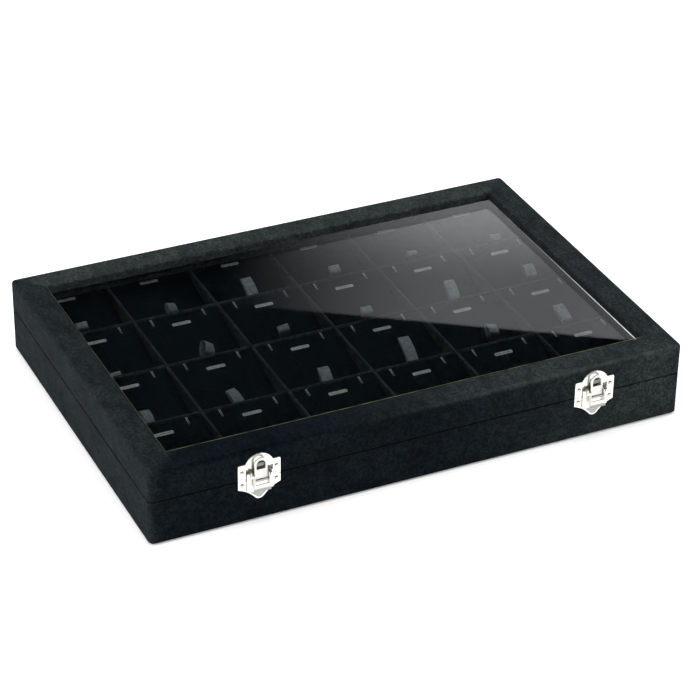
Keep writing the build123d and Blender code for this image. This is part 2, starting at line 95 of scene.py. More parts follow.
class Recipe:
    """The nodes of one material or of the world, with short calls for what the finishes share."""

    def __init__(self, owner: bpy.types.Material | bpy.types.World) -> None:
        """Clear the owner's nodes and start from its output.

        Args:
            owner: the new material or world.
        """
        owner.use_nodes = True
        self.tree = owner.node_tree
        self.tree.nodes.clear()
        is_world = isinstance(owner, bpy.types.World)
        self.output = self.add("OutputWorld" if is_world else "OutputMaterial")

    @cached_property
    def places(self) -> Socket:
        """Object coordinates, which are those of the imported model."""
        return self.add("TexCoord").outputs["Object"]

    def feed(self, source: Feed, target: Socket) -> None:
        """Join a socket to an input, or set a fixed value on the input.

        Args:
            source: a socket, a number, a colour or a vector.
            target: the input.
        """
        if isinstance(source, Socket):
            self.tree.links.new(source, target)
        else:
            target.default_value = (*source, 1.0) if target.type == "RGBA" else source

    def add(self, kind: str, *fed: Feed, **named: Feed) -> bpy.types.Node:
        """Add a node and feed it.

        Args:
            kind: its type, without ShaderNode.
            fed: what goes into its first inputs, in order.
            named: what goes into others, by their names with _ for a space.

        Returns:
            The node.
        """
        node = self.tree.nodes.new(f"ShaderNode{kind}")
        for place, source in enumerate(fed):
            self.feed(source, node.inputs[place])
        for name, source in named.items():
            self.feed(source, node.inputs[name.replace("_", " ")])
        return node

    def stretched(self, scale: Triple, turn: Triple = (0.0, 0.0, 0.0)) -> Socket:
        """Object coordinates, scaled along each axis and turned about each in radians."""
        return self.add("Mapping", Vector=self.places, Scale=scale, Rotation=turn).outputs["Vector"]

    def axes(self, places: Socket | None = None) -> tuple[Socket, Socket, Socket]:
        """Coordinates one by one: the object's own, unless others are given."""
        outputs = self.add("SeparateXYZ", places or self.places).outputs
        return outputs["X"], outputs["Y"], outputs["Z"]

    def noise(
        self, scale: float, detail: float, roughness: float = 0.55, places: Socket | None = None
    ) -> Socket:
        """Soft noise from 0 to 1.

        Args:
            scale: how fine it is, in cells a metre.
            detail: the number of finer layers.
            roughness: how strong the finer layers are.
            places: the coordinates, or None for plain object coordinates.

        Returns:
            The noise.
        """
        places = places or self.places
        node = self.add("TexNoise", Vector=places, Scale=scale, Detail=detail, Roughness=roughness)
        return node.outputs["Fac"]

    def spread(
        self, value: Socket, low: float, high: float, to_low: float = 0.0, to_high: float = 1.0
    ) -> Socket:
        """Map a value from one range to another, smoothly and held at both ends.

        Args:
            value: the socket to map.
            low: where the result starts to change.
            high: where it stops.
            to_low: the result below low.
            to_high: the result above high.

        Returns:
            The result.
        """
        node = self.add("MapRange", value, low, high, to_low, to_high)
        node.interpolation_type = "SMOOTHSTEP"
        return node.outputs["Result"]

    def combine(self, first: Socket, second: Socket | float, kind: Sum = Sum.ADD) -> Socket:
        """Work out one value from two.

        Args:
            first: a socket.
            second: a socket or a number.
            kind: what is done with them.

        Returns:
            The result.
        """
        node = self.add("Math", first, second)
        node.operation = kind.value
        return node.outputs[0]

    def times(self, value: Socket, *factors: Socket | float) -> Socket:
        """Multiply a value by one factor after another."""
        return reduce(lambda made, factor: self.combine(made, factor, Sum.MULTIPLY), factors, value)

    def unsigned(self, value: Socket) -> Socket:
        """The value without its sign."""
        return self.combine(value, 0.0, Sum.UNSIGNED)

    def blend(
        self, share: Socket, first: Feed, second: Feed, kind: Blend = Blend.COLOURS
    ) -> Socket:
        """Mix two colours or two values.

        Args:
            share: how much of the second one there is.
            first: a socket, a colour or a number.
            second: a socket, a colour or a number.
            kind: whether they are colours or values.

        Returns:
            The mix.
        """
        data_type, one, other, result = kind.value
        node = self.add("Mix", share)
        node.data_type = data_type
        self.feed(first, node.inputs[one])
        self.feed(second, node.inputs[other])
        return node.outputs[result]

    def relief(
        self, height: Socket, depth: float, strength: float = 1.0, over: Socket | None = None
    ) -> Socket:
        """Bump from a height.

        Args:
            height: the socket of the height, from 0 to 1.
            depth: what 1 stands for, in metres.
            strength: how much of it shows.
            over: the normal of a coarser bump below this one.

        Returns:
            The normal.
        """
        node = self.add("Bump", Strength=strength, Distance=depth, Height=height)
        if over is not None:
            self.feed(over, node.inputs["Normal"])
        return node.outputs["Normal"]

    def shader(self, **named: Feed) -> None:
        """End the material in a principled shader, fed by the names of its inputs."""
        self.end(self.add("BsdfPrincipled", **named))

    def end(self, node: bpy.types.Node) -> None:
        """Join a shader's result to the output."""
        self.feed(node.outputs[0], self.output.inputs["Surface"])


# ---- finishes


@dataclass(frozen=True)
class Coat:
    """What every finish has: a name, and a material that is built once."""

    name: str

    def lay(self, r: Recipe) -> None:
        """Build the nodes, which each finish does in its own way."""
        raise NotImplementedError

    def material(self) -> bpy.types.Material:
        """The finish's material.

        Returns:
            The material of this name, built at the first call.
        """
        known = bpy.data.materials.get(self.name)
        if known is None:
            known = bpy.data.materials.new(self.name)
            self.lay(Recipe(known))
        return known


@dataclass(frozen=True)
class Velvet(Coat):
    """Short-pile velvet: deep where the nap leans away, lighter where it is brushed up."""

    deep: Colour
    brushed: Colour
    patch: float = 60.0
    sheen: float = 0.01
    nap: float = 0.45 * MM

    def colour(self, r: Recipe, share: Socket) -> Socket:
        """The colour where a share of the nap is brushed up."""
        return r.blend(share, self.deep, self.brushed)

    def lay(self, r: Recipe) -> None:
        """Lay patches, strokes, specks and fibres over each other.

        Args:
            r: the material's recipe.
        """
        patches = r.spread(r.noise(self.patch, 5.0, 0.62), 0.30, 0.72, 0.28, 0.92)
        slanted = r.stretched((1.0, 0.5, 1.0), (0.3, 0.2, 0.7))
        strokes = r.spread(r.noise(190.0, 4.0, 0.65, slanted), 0.3, 0.72)
        specks = r.spread(r.noise(560.0, 3.0, 0.75), 0.35, 0.65, 0.3, 1.65)
        fibres = r.noise(2600.0, 2.0, 0.7)
        grain = r.spread(fibres, 0.25, 0.75, 0.72, 1.15)
        tone = r.combine(r.times(patches, 0.48), r.times(strokes, 0.42))
        coarse = r.relief(strokes, self.nap, 0.5)
        r.shader(
            Base_Color=self.colour(r, r.times(tone, grain, specks)),
            Roughness=1.0,
            Specular_IOR_Level=0.05,
            Sheen_Weight=self.sheen,
            Sheen_Roughness=0.45,
            Sheen_Tint=(0.82, 0.95, 1.0),
            Normal=r.relief(fibres, self.nap * 0.5, 0.7, coarse),
        )


@dataclass(frozen=True)
class CaseVelvet(Velvet):
    """The case's velvet, with painted light and shade on each board and a painted highlight on the
    outer edges.

    The mitres are places of -|x| - y in front and of -|x| + y behind."""

    # painted shade: the colours a board takes where it is turned from the light
    deep_shade: Colour = (0.0001, 0.0008, 0.0020)
    brushed_shade: Colour = (0.0031, 0.0065, 0.0094)
    # painted highlight along the outer edges
    rim_highlight: Colour = (0.048, 0.053, 0.049)
    # painted shade in the seam between lid and tray
    seam_shade: Colour = (0.0008, 0.0010, 0.0012)
    # how strong the painted edge highlight is
    lightness: float = 0.5
    # where the painted light and shade of each board lie: mitres between the boards, then ramps
    # along x and z
    front_mitre: Ramp = (-59.0 * MM, -44.0 * MM)
    back_mitre: Ramp = (-56.5 * MM, -53.5 * MM)
    top_bend: Ramp = (LID_TOP - 3.5 * MM, LID_TOP - 0.4 * MM)
    front_face: Ramp = (10.0 * MM, 178.0 * MM, 0.08, 0.86)
    front_top: Ramp = (-80.0 * MM, 90.0 * MM, 0.0, 0.86)
    both_sides: Ramp = (-20.0 * MM, 20.0 * MM, 0.42, 0.62)
    # where the painted edge highlight lies
    top_edge: Ramp = (LID_TOP - 2.6 * MM, LID_TOP - 0.2 * MM)
    side_edge: Ramp = (HALF_LENGTH - 2.8 * MM, HALF_LENGTH - 0.2 * MM)
    end_edge: Ramp = (HALF_DEPTH - 2.8 * MM, HALF_DEPTH - 0.2 * MM)
    # how wide the painted seam shade is, and how strong
    seam_line: Ramp = (0.2 * MM, 0.9 * MM, 0.65, 0.0)

    def painted_light_share(self, r: Recipe) -> Socket:
        """How far each board is out of the painted shade: the front is dark at the left and lighter
        to the right, the sides partly shaded and the back not at all.

        Args:
            r: the velvet's recipe.

        Returns:
            The share, from 0 in the painted shade to 1 out of it.
        """
        x, y, z = r.axes()
        inset = r.times(r.unsigned(x), -1.0)
        at_front = r.spread(r.combine(inset, y, Sum.SUBTRACT), *self.front_mitre)
        at_back = r.spread(r.combine(inset, y), *self.back_mitre)
        face, top = r.spread(x, *self.front_face), r.spread(x, *self.front_top)
        front = r.blend(r.spread(z, *self.top_bend), face, top, Blend.VALUES)
        others = r.blend(at_back, r.spread(x, *self.both_sides), 1.0, Blend.VALUES)
        return r.blend(at_front, others, front, Blend.VALUES)

    def colour(self, r: Recipe, share: Socket) -> Socket:
        """The colour with a painted highlight on its outer edges, painted light and shade on each
        board and painted shade in the seam.

        Args:
            r: the velvet's recipe.
            share: how much of the nap is brushed up.

        Returns:
            The colour.
        """
        x, y, z = r.axes()
        # painted highlight along the outer edges, broken by noise
        side = r.spread(r.unsigned(x), *self.side_edge)
        end = r.spread(r.unsigned(y), *self.end_edge)
        upper = r.times(r.spread(z, *self.top_edge), r.combine(side, end, Sum.HIGHER))
        edges = r.combine(upper, r.times(side, end), Sum.HIGHER)
        broken = r.spread(r.noise(320.0, 3.0, 0.65), 0.2, 0.7, 0.2, 1.0)
        lit = r.blend(r.times(edges, broken, self.lightness), super().colour(r, share), self.rim_highlight)
        shaded = r.blend(share, self.deep_shade, self.brushed_shade)
        # painted shade in the seam between lid and tray
        seam = r.spread(r.unsigned(r.combine(z, -SEAM)), *self.seam_line)
        return r.blend(seam, r.blend(self.painted_light_share(r), shaded, lit), self.seam_shade)


@dataclass(frozen=True)
class Nickel(Coat):
    """Nickel plate over pressed steel: bright faces, painted olive shade in the corners, fine
    marks.
    """

    bright: Colour = (0.95, 0.955, 0.90)
    dull: Colour = (0.78, 0.79, 0.68)
    # painted shade in the corners
    corner_shade: Colour = (0.26, 0.26, 0.19)
    roughness: float = 0.2
    reach: float = 1.3 * MM
    # metallic in the painted corner shade, and on the open faces
    metal: Pair = (0.45, 0.9)

    def faces(self, r: Recipe) -> Socket:
        """The colour of the open faces: bright, with dull clouds."""
        cloud = r.spread(r.noise(260.0, 3.0, 0.6), 0.35, 0.75)
        return r.blend(r.times(cloud, 0.45), self.bright, self.dull)

    def lay(self, r: Recipe) -> None:
        """Paint shade into the corners and roll the marks.

        Args:
            r: the material's recipe.
        """
        marks = r.noise(900.0, 2.0, 0.6, r.stretched((1.0, 1.0, 9.0)))
        # painted shade: ambient occlusion finds the corners
        corners = r.add("AmbientOcclusion", Distance=self.reach)
        corners.samples = 12
        clear = r.spread(corners.outputs["AO"], 0.35, 0.86)
        r.shader(
            Base_Color=r.blend(clear, self.corner_shade, self.faces(r)),
            Metallic=r.blend(clear, *self.metal, Blend.VALUES),
            Roughness=r.spread(marks, 0.2, 0.8, self.roughness - 0.05, self.roughness + 0.14),
            Specular_IOR_Level=0.5,
            Normal=r.relief(marks, 0.03 * MM, 0.5),
        )


@dataclass(frozen=True)
class PlateNickel(Nickel):
    """Nickel of the latch plates, with painted shade on the nose seen through the bail's opening
    and on the lowest tip, under the lever.

    The tip's sides are places of the distance from the latch's middle less tip_slope times z."""

    # painted shade on the nose inside the bail's opening
    nose_shade: Colour = (0.10, 0.105, 0.095)
    # painted shade on the lowest tip, under the lever
    tip: Colour = (0.27, 0.29, 0.27)
    shade_strength: float = 0.9
    nose_sides: Ramp = (3.4 * MM, 4.2 * MM, 1.0, 0.0)
    nose_foot: Ramp = (33.0 * MM, 33.6 * MM)
    nose_head: Ramp = (41.4 * MM, 42.0 * MM, 1.0, 0.0)
    tip_slope: float = 1.046
    tip_sides: Ramp = (-16.8 * MM, -16.2 * MM, 1.0, 0.0)
    tip_foot: Ramp = (16.5 * MM, 16.9 * MM)
    tip_head: Ramp = (20.9 * MM, 21.6 * MM, 1.0, 0.0)

    def faces(self, r: Recipe) -> Socket:
        """The colour of the open faces with painted shade on the nose and tip.

        Args:
            r: the metal's recipe.

        Returns:
            The colour.
        """
        x, _, z = r.axes()
        left, right = (r.unsigned(r.combine(x, -middle)) for middle in LATCH_MIDDLES)
        off = r.combine(left, right, Sum.LOWER)
        sweep = r.combine(off, r.times(z, -self.tip_slope))
        nose_height = r.times(r.spread(z, *self.nose_foot), r.spread(z, *self.nose_head))
        tip_height = r.times(r.spread(z, *self.tip_foot), r.spread(z, *self.tip_head))
        # painted shade on the nose and on the lowest tip
        nose = r.times(r.spread(off, *self.nose_sides), nose_height, self.shade_strength)
        tip = r.times(r.spread(sweep, *self.tip_sides), tip_height, self.shade_strength)
        return r.blend(tip, r.blend(nose, super().faces(r), self.nose_shade), self.tip)


@dataclass(frozen=True)
class Satin(Coat):
    """Narrow woven ribbon with close ribs across it, dark but for a painted highlight on its folded
    tip.
    """

    dark: Colour = (0.014, 0.019, 0.022)
    shade: Colour = (0.15, 0.19, 0.225)
    light: Colour = (0.36, 0.42, 0.465)

    def lay(self, r: Recipe) -> None:
        """Weave the ribs by the UV map, and paint the highlight on the tip by the shine laid on the
        points.

        Args:
            r: the material's recipe.
        """
        lay = r.add("TexCoord").outputs["UV"]
        weave = r.add("TexWave", Vector=lay, Scale=13.0, Distortion=0.6, Detail=1.0)
        weave.bands_direction = "Y"
        ribs = weave.outputs["Fac"]
        cloud = r.spread(r.noise(520.0, 4.0, 0.65), 0.32, 0.68)
        tone = r.combine(r.times(cloud, 0.75), r.times(ribs, 0.25))
        # painted highlight: the shine laid on the points lights each loop's tip
        tip = r.add("Attribute")
        tip.attribute_name = "shine"
        lit = r.blend(tone, self.shade, self.light)
        r.shader(
            Base_Color=r.blend(tip.outputs["Fac"], self.dark, lit),
            Roughness=0.5,
            Specular_IOR_Level=0.35,
            Sheen_Weight=0.1,
            Sheen_Roughness=0.35,
            Sheen_Tint=(0.85, 0.95, 1.0),
            Normal=r.relief(ribs, 0.12 * MM, 0.5),
        )


@dataclass(frozen=True)
class CutCard(Coat):
    """The pale cut edge of the card under the velvet, a little fibrous."""

    dark: Colour = (0.33, 0.38, 0.38)
    light: Colour = (0.66, 0.72, 0.71)
    cloud: Triple = (700.0, 4.0, 0.7)
    fibre: Triple = (1800.0, 2.0, 0.6)
    depth: float = 0.2 * MM
    strength: float = 0.5
    roughness: float = 0.9
    gloss: float = 0.2

    def lightness(self, r: Recipe) -> Socket:
        """How light the card is from place to place."""
        return r.spread(r.noise(*self.cloud), 0.3, 0.7)

    def lay(self, r: Recipe) -> None:
        """Lay the clouds and the fibres.

        Args:
            r: the material's recipe.
        """
        r.shader(
            Base_Color=r.blend(self.lightness(r), self.dark, self.light),
            Roughness=self.roughness,
            Specular_IOR_Level=self.gloss,
            Normal=r.relief(r.noise(*self.fibre), self.depth, self.strength),
        )


@dataclass(frozen=True)
class OpeningHighlight(CutCard):
    """A painted highlight on a thin greenish bead along the front and left of the opening, fainter
    on the left side.
    """

    # the painted highlight fades towards the left end
    left_end: Ramp = (-156.6 * MM, -150.0 * MM, 0.35, 1.0)

    def lightness(self, r: Recipe) -> Socket:
        """How bright the painted highlight is from place to place."""
        return r.times(super().lightness(r), r.spread(r.axes()[0], *self.left_end))


@dataclass(frozen=True)
class ClearGlass(Coat):
    """Clear float glass with a few faint smears."""

    clean: Colour = (0.98, 1.0, 0.99)
    smeared: Colour = (0.93, 0.955, 0.95)

    def lay(self, r: Recipe) -> None:
        """Wipe the smears across the glass.

        Args:
            r: the material's recipe.
        """
        wiped = r.stretched((1.0, 0.35, 1.0), (0.0, 0.0, 0.5))
        smears = r.spread(r.noise(22.0, 4.0, 0.6, wiped), 0.4, 0.8)
        colour = r.blend(smears, self.clean, self.smeared)
        r.shader(Base_Color=colour, Transmission_Weight=1.0, IOR=1.5, Roughness=0.0)


@dataclass(frozen=True)
class GlassEdgeHighlight(Coat):
    """A painted highlight: the bright line along the glass where the right rail meets it, brightest
    at the front.
    """

    faint: Colour = (0.05, 0.053, 0.052)
    pale: Colour = (0.72, 0.74, 0.72)
    length: Ramp = (-110.0 * MM, 50.0 * MM, 1.0, 0.12)

    def lay(self, r: Recipe) -> None:
        """Fade the painted highlight towards the back and break it a little.

        Args:
            r: the material's recipe.
        """
        y = r.axes()[1]
        broken = r.spread(r.noise(90.0, 3.0, 0.6), 0.35, 0.65, 0.75, 1.0)
        colour = r.blend(r.times(r.spread(y, *self.length), broken), self.faint, self.pale)
        r.shader(Base_Color=colour, Roughness=0.3, Specular_IOR_Level=0.6)


@dataclass(frozen=True)
class LiningPaper(Coat):
    """Matt black paper under the case."""

    dark: Colour = (0.012, 0.013, 0.014)
    light: Colour = (0.028, 0.03, 0.031)

    def lay(self, r: Recipe) -> None:
        """Lay the paper's fibres.

        Args:
            r: the material's recipe.
        """
        fibre = r.noise(500.0, 4.0, 0.65, r.stretched((1.0, 0.3, 1.0)))
        r.shader(
            Base_Color=r.blend(fibre, self.dark, self.light),
            Roughness=0.85,
            Specular_IOR_Level=0.3,
            Normal=r.relief(fibre, 0.1 * MM, 0.5),
        )


@dataclass(frozen=True)
class StudioFloor(Coat):
    """Plain matt white sweep, nearly even, with a little light of its own to stay white."""

    shade: Colour = (0.955, 0.955, 0.955)
    light: Colour = (0.975, 0.975, 0.975)
    glow: float = 0.06

    def lay(self, r: Recipe) -> None:
        """Build the floor's nodes.

        Args:
            r: the material's recipe.
        """
        r.shader(
            Base_Color=r.blend(r.noise(3.0, 2.0), self.shade, self.light),
            Roughness=0.9,
            Specular_IOR_Level=0.1,
            Emission_Color=(1.0, 1.0, 1.0),
            Emission_Strength=self.glow,
        )


@dataclass(frozen=True)
class CardGlow(Coat):
    """The light of the reflected card, which fades to the left and upwards.

    Its UV map holds metres: to the right of the picture's middle, and above the floor."""

    tint: Colour = (0.96, 0.98, 1.0)
    left: Ramp = (-0.16, 0.16)
    right: Ramp = (0.25, 0.34, 1.0, 1.2)
    upwards: Ramp = (0.70, 0.83, 1.45, 0.56)

    def lay(self, r: Recipe) -> None:
        """Fade the light over the card.

        Args:
            r: the material's recipe.
        """
        side, height, _ = r.axes(r.add("TexCoord").outputs["UV"])
        lit = r.times(r.spread(height, *self.upwards), r.spread(side, *self.right))
        r.end(r.add("Emission", Color=self.tint, Strength=r.times(r.spread(side, *self.left), lit)))


class Finish(Enum):
    """Every finish of the tray and its studio."""

    CASE = CaseVelvet(
        "case velvet", (0.0050, 0.0082, 0.0088), (0.0330, 0.0400, 0.0385), patch=46.0, sheen=0.02
    )
    INSIDE = Velvet("inside velvet", (0.0044, 0.0094, 0.0128), (0.0096, 0.0176, 0.0226))
    DIVIDER = Velvet("divider velvet", (0.019, 0.030, 0.034), (0.057, 0.073, 0.078), sheen=0.03)
    NICKEL = Nickel("nickel")
    PLATE = PlateNickel("nickel plate")
    # its third colour is the painted corner shade
    BACKING = Nickel("dull nickel", (0.42, 0.43, 0.38), (0.32, 0.33, 0.28), (0.36, 0.36, 0.29), 0.4)
    RIBBON = Satin("satin ribbon")
    CARD = CutCard("cut card")
    GLASS = ClearGlass("clear glass")
    GLASS_EDGE_HIGHLIGHT = GlassEdgeHighlight("glass edge highlight")
    OPENING_HIGHLIGHT = OpeningHighlight(
        "opening highlight", (0.022, 0.030, 0.016), (0.12, 0.14, 0.07), (120.0, 4.0, 0.65),
        (1500.0, 2.0, 0.6), depth=0.1 * MM, strength=0.4, roughness=0.7, gloss=0.3,
    )
    PAPER = LiningPaper("lining paper")
    FLOOR = StudioFloor("studio floor")
    CARD_GLOW = CardGlow("card glow")


# ---- mesh work


def new_object(name: str, mesh: Mesh, finish: Finish) -> Object:
    """Turn a bmesh into an object of the scene.

    Args:
        name: the object's name.
        mesh: its finished bmesh, which is freed.
        finish: what it is covered with.

    Returns:
        The new object.
    """
    data = bpy.data.meshes.new(name)
    mesh.to_mesh(data)
    mesh.free()
    data.materials.append(finish.value.material())
    thing = bpy.data.objects.new(name, data)
    bpy.context.scene.collection.objects.link(thing)
    log.info("%s, in %s", name, finish.value.name)
    return thing


def new_piece(name: str, mesh: Mesh, finish: Finish, body: str, sharp: float) -> Object:
    """Turn a bmesh into a smooth piece that rides on a body.

    Args:
        name: the piece's name.
        mesh: its finished bmesh, which is freed.
        finish: what it is covered with.
        body: the body that it moves with.
        sharp: edges that turn more than this many degrees stay crisp.

    Returns:
        The new object.
    """
    bmesh.ops.recalc_face_normals(mesh, faces=mesh.faces)
    for face in mesh.faces:
        face.smooth = True
    for edge in mesh.edges:
        if len(edge.link_faces) == 2 and edge.calc_face_angle(0.0) > math.radians(sharp):
            edge.smooth = False
    piece = new_object(name, mesh, finish)
    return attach(piece, body)


def skin(mesh: Mesh, rings: Rings, joined: bool = False, capped: bool = True) -> None:
    """Join rings of points with faces.

    Args:
        mesh: where the faces are added.
        rings: the rings, with as many points each, or one point as the last.
        joined: whether the last ring meets the first.
        capped: whether both end rings are closed, where they don't meet.
    """
    for near, far in zip(rings, rings[1:] + rings[:1] if joined else rings[1:]):
        for k in range(len(near)):
            after = (k + 1) % len(near)
            opposite = far if len(far) == 1 else (far[after], far[k])
            mesh.faces.new((near[k], near[after], *opposite))
    if capped and not joined:
        mesh.faces.new(rings[0])
        mesh.faces.new(rings[-1])


def turned(mesh: Mesh, profile: list[Pair], place: Matrix, sides: int) -> None:
    """Add a turned shape that is open below, such as a nail head.

    Args:
        mesh: where it is added.
        profile: radius and height of each ring, from the outside in to a radius of 0.
        place: where its axis stands.
        sides: points round each ring.
    """
    turns = [2 * math.pi * k / sides for k in range(sides)]
    rings = []
    for radius, height in profile:
        spokes = turns if radius > 0.0 else turns[:1]
        points = [Vector((radius * math.cos(t), radius * math.sin(t), height)) for t in spokes]
        rings.append([mesh.verts.new(place @ point) for point in points])
    skin(mesh, rings, capped=False)


def swept(
    mesh: Mesh, path: list[Vector], section: list[Pair], across: list[Vector], out: list[Vector]
) -> None:
    """Sweep a closed section along a path.

    Args:
        mesh: where it is added.
        path: the points of the path.
        section: the section's points, across and out.
        across: the across direction at each of them.
        out: the out direction at each of them.
    """
    rings = []
    for point, a, o in zip(path, across, out):
        rings.append([mesh.verts.new(point + a * u + o * v) for u, v in section])
    skin(mesh, rings)


def dress(nodes: list[str], finish: Finish) -> None:
    """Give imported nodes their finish.

    Args:
        nodes: the names of the nodes.
        finish: what they are covered with.
    """
    for name in nodes:
        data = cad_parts[name].data
        data.materials.clear()
        data.materials.append(finish.value.material())
        log.info("%s, in %s", name, finish.value.name)


# ---- sub-assemblies


@dataclass
class Cells:
    """The grid of compartments, in the part's own sizes."""

    columns: int = 6
    rows: int = 4
    left: float = -170.5 * MM
    right: float = 165.5 * MM
    front: float = -108.5 * MM
    back: float = 115.0 * MM
    divider: float = 2.0 * MM
    slope: float = math.radians(12.0)
    back_top: float = 35.6 * MM
    back_gap: float = 0.4 * MM
    front_gap: float = 1.6 * MM

    @property
    def width(self) -> float:
        """Clear width of a compartment."""
        return (self.right - self.left - (self.columns - 1) * self.divider) / self.columns

    @property
    def depth(self) -> float:
        """Clear depth of a compartment."""
        return (self.back - self.front - (self.rows - 1) * self.divider) / self.rows

    @property
    def front_top(self) -> float:
        """Height of an insert's front edge."""
        return self.back_top - (self.depth - self.back_gap - self.front_gap) * math.tan(self.slope)

    def middle(self, column: int) -> float:
        """Middle of a compartment in X, counted from the left."""
        return self.left + self.width / 2 + column * (self.width + self.divider)

    def near_edge(self, row: int) -> float:
        """Front edge of a compartment in Y, counted from the back."""
        return self.back - self.depth - row * (self.depth + self.divider)

    def surface(self, row: int, column: int) -> Matrix:
        """Frame of an insert's face: X to the right, Y up the slope, origin at the rear edge.

        Args:
            row: counted from the back.
            column: counted from the left.

        Returns:
            The frame.
        """
        rear = self.near_edge(row) + self.depth - self.back_gap
        place = Matrix.Translation((self.middle(column), rear, self.back_top))
        return place @ Matrix.Rotation(self.slope, 4, "X")


@dataclass
class CaseBody:
    """Walls, lid rails, liner, floor and the lining sheet."""

    boards: tuple[str, ...] = ("front", "back", "left", "right")

    def build(self) -> None:
        """Dress the boards, and keep the rails out of what the glass mirrors."""
        rails = [f"lid_{board}_rail" for board in self.boards]
        dress([f"tray_{board}_wall" for board in self.boards] + rails, Finish.CASE)
        for name in rails:
            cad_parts[name].visible_glossy = False
        dress(["liner_boards", "glass_retainer", "floor_board"], Finish.DIVIDER)
        dress(["base_sheet"], Finish.PAPER)


@dataclass
class Inserts:
    """The sloping inserts and the dividers, with the pale cut edges of the slots and slits.

    In millimetres, the binding's rings have a length, a width and a height over the face. The lips
    have a side and a half width, which a share changes at each distance from the rear edge, and the
    points of their section have a share of it and a height."""

    cells: Cells
    slot_setback: float = 8.9 * MM
    binding: tuple[Triple, ...] = (
        (12.3, 2.6, -0.05), (12.3, 2.6, 0.03), (12.0, 2.2, 0.14), (10.8, 1.1, 0.13),
        (10.3, 0.7, 0.02), (10.3, 0.7, -0.9), (10.9, 2.5, -0.9), (10.9, 2.5, -0.05),
    )
    end_power: float = 0.6
    slit_spacing: float = 35.0 * MM
    slit_edge: float = 0.42
    lips: Pairs = ((-1, 0.2), (1, 0.08))
    lip_taper: Pairs = ((0.2, 1.25), (1.6, 1.0), (4.0, 0.6), (6.3, 0.3))
    lip_section: Pairs = ((-1, -0.5), (1, -0.5), (1, 0.05), (0, 0.12), (-1, 0.05))

    def stadium(self, length: float, width: float, count: int = 10) -> list[Pair]:
        """Outline of a slot with ends between round and square.

        Args:
            length: over both ends.
            width: between the straight sides.
            count: steps round each end.

        Returns:
            The points, in order.
        """
        reach, radius = length / 2 - width / 2, width / 2
        right = []
        for k in range(count + 1):
            turn = math.pi * (k / count - 0.5)
            ahead = max(math.cos(turn), 0.0) ** self.end_power
            aside = math.copysign(abs(math.sin(turn)) ** self.end_power, turn)
            right.append((reach + radius * ahead, radius * aside))
        return right + [(-x, -y) for x, y in right]

    def slot_binding(self, mesh: Mesh, place: Matrix) -> None:
        """Add the pale binding of one slot, which leaves a narrow slit open.

        Args:
            mesh: where it is added.
            place: the frame of the insert's face, moved to the middle of the slot.
        """
        rings = []
        for length, width, height in self.binding:
            outline = self.stadium(length, width)
            points = [Vector((x, y, height)) * MM for x, y in outline]
            rings.append([mesh.verts.new(place @ point) for point in points])
        skin(mesh, rings, joined=True)

    def slit_lips(self, mesh: Mesh, place: Matrix) -> None:
        """Add the two pale lips of one slit.

        Args:
            mesh: where they are added.
            place: the frame of the insert's face, moved to the slit's rear end.
        """
        for side, breadth in self.lips:
            rings = []
            for ahead, share in self.lip_taper:
                middle, half = side * self.slit_edge, breadth * share
                points = [Vector((middle + u * half, -ahead, v)) * MM for u, v in self.lip_section]
                rings.append([mesh.verts.new(place @ point) for point in points])
            skin(mesh, rings)

    def build(self) -> None:
        """Dress the inserts and dividers and add the cut edges."""
        rows, columns = range(self.cells.rows), range(self.cells.columns)
        dress([f"insert_r{r + 1}c{c + 1}" for r in rows for c in columns], Finish.INSIDE)
        dress([f"column_divider_{k}" for k in columns[1:]], Finish.DIVIDER)
        dress([f"row_divider_{k}" for k in rows[1:]], Finish.DIVIDER)
        for row in rows:
            bindings, lips = bmesh.new(), bmesh.new()
            for column in columns:
                face = self.cells.surface(row, column)
                self.slot_binding(bindings, face @ Matrix.Translation((0, -self.slot_setback, 0)))
                for across in (-self.slit_spacing / 2, self.slit_spacing / 2):
                    self.slit_lips(lips, face @ Matrix.Translation((across, 0, 0)))
            for name, mesh in (("slot_bindings", bindings), ("slit_lips", lips)):
                new_piece(f"{name}_r{row + 1}", mesh, Finish.CARD, "tray", sharp=50.0)


@dataclass(frozen=True)
class Pull:
    """How one ribbon loop stands, in millimetres and degrees.

    Its tip's place from its foot is right, rear and top. The tip turns by turn, the plies part by
    opening, the shine goes down by shine, and the foot is off the compartment's middle by slide."""

    right: float
    rear: float
    top: float
    turn: float = 0.0
    opening: float = 2.6
    shine: float = 8.0
    slide: float = 0.0


